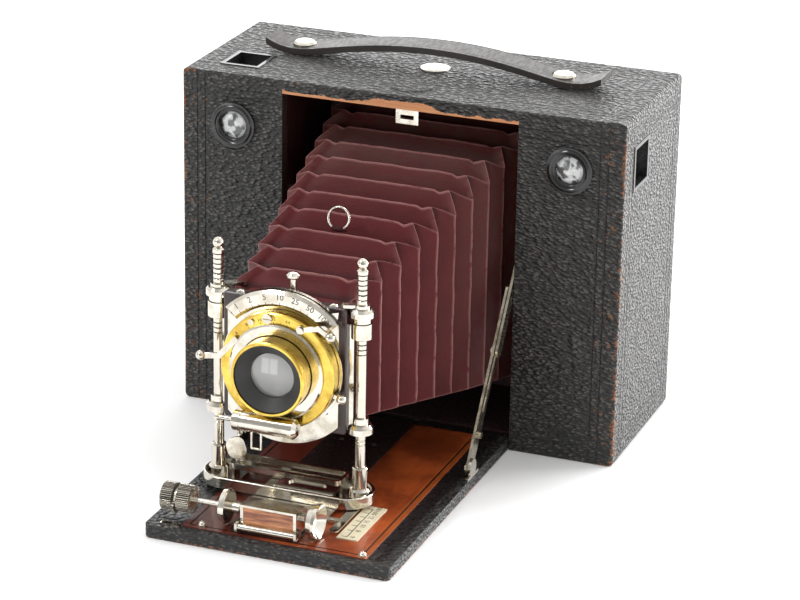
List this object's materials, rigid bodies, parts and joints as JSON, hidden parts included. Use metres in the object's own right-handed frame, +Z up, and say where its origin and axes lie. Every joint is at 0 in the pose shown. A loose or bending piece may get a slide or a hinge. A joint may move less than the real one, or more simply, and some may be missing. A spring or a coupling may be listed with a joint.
{
  "type": "folding roll-film camera",
  "caption": "Open leather-covered folding roll-film camera with long bellows, lens standard with brass-cased shutter on twin posts, drop bed with struts, carrying strap and two windows.",
  "frame": {"origin": "mouth of the tripod socket, in the middle of the underside of the body; the table is at Z = 0", "axes": "+X to the right of someone facing the lens, +Y from the lens towards the back of the camera, +Z up"},
  "size_m": [0.2164, 0.2426, 0.1768],
  "materials": {
    "morocco_leather": "black pebbled leather covering, semi-matt",
    "strap_leather": "black leather strap",
    "bellows_leather": "dark red bellows leather",
    "dark_interior": "dark stained interior",
    "mahogany": "polished mahogany with a dark line",
    "clamp_wood": "polished wood",
    "board_wood": "polished mahogany",
    "nickel": "worn nickel plate",
    "satin_nickel": "dull nickel plate",
    "brass": "polished lacquered brass",
    "black_enamel": "black enamel",
    "blackened_steel": "blackened steel",
    "ivory_scale": "ivory-coloured scale",
    "lens_glass": "clear glass",
    "finder_glass": "ground and clear glass",
    "mirror": "silvered mirror",
    "ruby_glass": "red glass",
    "spool_wood": "dark stained wooden core with metal ends"
  },
  "bodies": {
    "camera_body": {"body_shell": "morocco_leather", "inner_frame": "dark_interior", "finder_frames": "black_enamel", "finder_glasses": "finder_glass", "finder_mirrors": "mirror", "tripod_bushes": "satin_nickel", "handle_strap": "strap_leather", "strap_screws": "nickel", "pivot_pins": "nickel"},
    "takeup": {"takeup_spool": "spool_wood", "winding_key": "nickel"},
    "supply": {"supply_spool": "spool_wood"},
    "roller_left": {"film_roller_left": "satin_nickel"},
    "roller_right": {"film_roller_right": "satin_nickel"},
    "back": {"back_cover": "morocco_leather", "back_fittings": "satin_nickel", "ruby_window": "ruby_glass"},
    "ruby_flap": {"ruby_cover": "nickel"},
    "bed_release": {"bed_release_button": "morocco_leather", "bed_catch": "nickel"},
    "back_release": {"back_release_button": "nickel"},
    "bed": {"bed_board": "morocco_leather", "bed_panel": "mahogany", "track_plate": "black_enamel", "scale_card": "ivory_scale", "bed_fittings": "nickel", "bellows": "bellows_leather"},
    "lower_strut_left": {"strut_lower_left": "nickel"},
    "lower_strut_right": {"strut_lower_right": "nickel"},
    "upper_strut_left": {"strut_upper_left": "nickel"},
    "upper_strut_right": {"strut_upper_right": "nickel"},
    "carriage": {"carriage_base": "nickel", "clamp_box": "nickel", "wood_insert": "clamp_wood"},
    "clamp": {"clamp_shaft": "nickel"},
    "focus_clamp": {"focus_lock": "nickel"},
    "disc_left": {"finger_disc_left": "nickel"},
    "disc_right": {"finger_disc_right": "nickel"},
    "cross_slide": {"base_ring": "nickel", "posts": "nickel"},
    "slide_tab": {"slide_lock_tab": "nickel"},
    "front_board": {"lens_board": "board_wood", "board_runners": "nickel", "board_fittings": "nickel", "shutter_plate": "nickel", "shutter_case": "brass", "shutter_fittings": "nickel", "air_cylinder": "nickel", "lens_barrels": "brass", "lens_glasses": "lens_glass"},
    "nut_left": {"lever_nut_left": "nickel"},
    "nut_right": {"lever_nut_right": "nickel"},
    "iris_ring": {"aperture_ring": "nickel"},
    "speed_dial": {"speed_pointer": "nickel"},
    "trip_lever": {"release_lever": "nickel"},
    "cocking_lever": {"setting_lever": "nickel"},
    "blade_left": {"shutter_blade_left": "blackened_steel"},
    "blade_right": {"shutter_blade_right": "blackened_steel"},
    "piston": {"air_piston": "nickel"}
  },
  "joints": [
    {"name": "takeup_turn", "type": "hinge", "parent": "camera_body", "child": "takeup", "pos_m": [0.082, 0.018, 0.082], "axis": [0, 0, 1], "continuous": true},
    {"name": "supply_turn", "type": "hinge", "parent": "camera_body", "child": "supply", "pos_m": [-0.082, 0.018, 0.082], "axis": [0, 0, 1], "continuous": true},
    {"name": "left_roller_turn", "type": "hinge", "parent": "camera_body", "child": "roller_left", "pos_m": [-0.0622, 0.0195, 0.082], "axis": [0, 0, 1], "continuous": true},
    {"name": "right_roller_turn", "type": "hinge", "parent": "camera_body", "child": "roller_right", "pos_m": [0.0622, 0.0195, 0.082], "axis": [0, 0, 1], "continuous": true},
    {"name": "back_off", "type": "slide", "parent": "camera_body", "child": "back", "axis": [0, 1, 0], "range_m": [0, 0.03]},
    {"name": "ruby_flap_swing", "type": "hinge", "parent": "back", "child": "ruby_flap", "pos_m": [0, 0.0445, 0.0957], "axis": [0, 1, 0], "range_deg": [0, 90]},
    {"name": "bed_release_press", "type": "slide", "parent": "camera_body", "child": "bed_release", "axis": [0, 0, -1], "range_m": [0, 0.0012], "stiffness_N_per_m": 400, "springref_m": -0.001},
    {"name": "back_release_press", "type": "slide", "parent": "camera_body", "child": "back_release", "axis": [0, 0, -1], "range_m": [0, 0.001], "stiffness_N_per_m": 400, "springref_m": -0.001},
    {"name": "bed_fold", "type": "hinge", "parent": "camera_body", "child": "bed", "pos_m": [0, -0.04055, 0.0032], "axis": [-1, 0, 0], "range_deg": [0, 20], "deforming": ["bellows"]},
    {"name": "lower_strut_left_turn", "type": "hinge", "parent": "bed", "child": "lower_strut_left", "pos_m": [-0.0553, -0.092, 0.01], "axis": [-1, 0, 0], "range_deg": [-17, 0]},
    {"name": "upper_strut_left_turn", "type": "hinge", "parent": "camera_body", "child": "upper_strut_left", "pos_m": [-0.0553, -0.02469, 0.10692], "axis": [-1, 0, 0], "range_deg": [0, 3.1]},
    {"name": "lower_strut_right_turn", "type": "hinge", "parent": "bed", "child": "lower_strut_right", "pos_m": [0.0553, -0.092, 0.01], "axis": [-1, 0, 0], "range_deg": [-17, 0]},
    {"name": "upper_strut_right_turn", "type": "hinge", "parent": "camera_body", "child": "upper_strut_right", "pos_m": [0.0553, -0.02469, 0.10692], "axis": [-1, 0, 0], "range_deg": [0, 3.1]},
    {"name": "focus_travel", "type": "slide", "parent": "bed", "child": "carriage", "axis": [0, 1, 0], "range_m": [0, 0.06]},
    {"name": "clamp_turn", "type": "hinge", "parent": "carriage", "child": "clamp", "pos_m": [-0.0509, -0.182, 0.015], "axis": [1, 0, 0], "range_deg": [0, 75]},
    {"name": "focus_lock_turn", "type": "hinge", "parent": "carriage", "child": "focus_clamp", "pos_m": [-0.045, -0.182, 0.015], "axis": [-1, 0, 0], "range_deg": [0, 35]},
    {"name": "left_disc_press", "type": "slide", "parent": "carriage", "child": "disc_left", "axis": [1, 0, 0], "range_m": [0, 0.0012], "stiffness_N_per_m": 300, "springref_m": -0.001},
    {"name": "right_disc_press", "type": "slide", "parent": "carriage", "child": "disc_right", "axis": [-1, 0, 0], "range_m": [0, 0.0012]},
    {"name": "cross_travel", "type": "slide", "parent": "carriage", "child": "cross_slide", "axis": [1, 0, 0], "range_m": [0, 0.016]},
    {"name": "slide_tab_lift", "type": "hinge", "parent": "cross_slide", "child": "slide_tab", "pos_m": [-0.0336, -0.1454, 0.0205], "axis": [0, -1, 0], "range_deg": [0, 10], "stiffness_Nm_per_rad": 0.02, "springref_deg": -11.46},
    {"name": "board_rise", "type": "slide", "parent": "cross_slide", "child": "front_board", "axis": [0, 0, 1], "range_m": [-0.008, 0.013]},
    {"name": "left_nut_turn", "type": "hinge", "parent": "front_board", "child": "nut_left", "pos_m": [-0.0457, -0.142, 0.088], "axis": [0, 0, 1], "range_deg": [0, 25]},
    {"name": "right_nut_turn", "type": "hinge", "parent": "front_board", "child": "nut_right", "pos_m": [0.0221, -0.142, 0.088], "axis": [0, 0, 1], "range_deg": [-25, 0]},
    {"name": "iris_turn", "type": "hinge", "parent": "front_board", "child": "iris_ring", "pos_m": [-0.01235, -0.157, 0.0698], "axis": [0, -1, 0], "range_deg": [-18, 20]},
    {"name": "speed_turn", "type": "hinge", "parent": "front_board", "child": "speed_dial", "pos_m": [-0.01235, -0.149, 0.0698], "axis": [0, -1, 0], "range_deg": [0, 80]},
    {"name": "release_press", "type": "hinge", "parent": "front_board", "child": "trip_lever", "pos_m": [-0.00095, -0.156, 0.0912], "axis": [0, 1, 0], "range_deg": [0, 12], "stiffness_Nm_per_rad": 0.01, "springref_deg": -17.19},
    {"name": "cocking_turn", "type": "hinge", "parent": "front_board", "child": "cocking_lever", "pos_m": [-0.01235, -0.1516, 0.0698], "axis": [0, 1, 0], "range_deg": [0, 14]},
    {"name": "left_blade_swing", "type": "hinge", "parent": "front_board", "child": "blade_left", "pos_m": [-0.01235, -0.1527, 0.0858], "axis": [0, 1, 0], "range_deg": [0, 35]},
    {"name": "right_blade_swing", "type": "hinge", "parent": "front_board", "child": "blade_right", "pos_m": [-0.01235, -0.1504, 0.0858], "axis": [0, 1, 0], "range_deg": [-35, 0]},
    {"name": "piston_travel", "type": "slide", "parent": "front_board", "child": "piston", "axis": [1, 0, 0], "range_m": [0, 0.006]}
  ],
  "couplings": [
    {"joint": "supply_turn", "follows": "takeup_turn", "ratio": 1},
    {"joint": "left_roller_turn", "follows": "takeup_turn", "ratio": 1.8333},
    {"joint": "right_roller_turn", "follows": "takeup_turn", "ratio": 1.8333},
    {"joint": "lower_strut_left_turn", "follows": "bed_fold", "ratio": -0.848},
    {"joint": "lower_strut_right_turn", "follows": "bed_fold", "ratio": -0.848},
    {"joint": "upper_strut_left_turn", "follows": "bed_fold", "ratio": 0.152},
    {"joint": "upper_strut_right_turn", "follows": "bed_fold", "ratio": 0.152},
    {"joint": "right_disc_press", "follows": "left_disc_press", "ratio": 1},
    {"joint": "left_blade_swing", "follows": "release_press", "ratio": 2.9},
    {"joint": "right_blade_swing", "follows": "release_press", "ratio": -2.9},
    {"joint": "piston_travel", "follows": "release_press", "m_per_rad": 0.028}
  ]
}
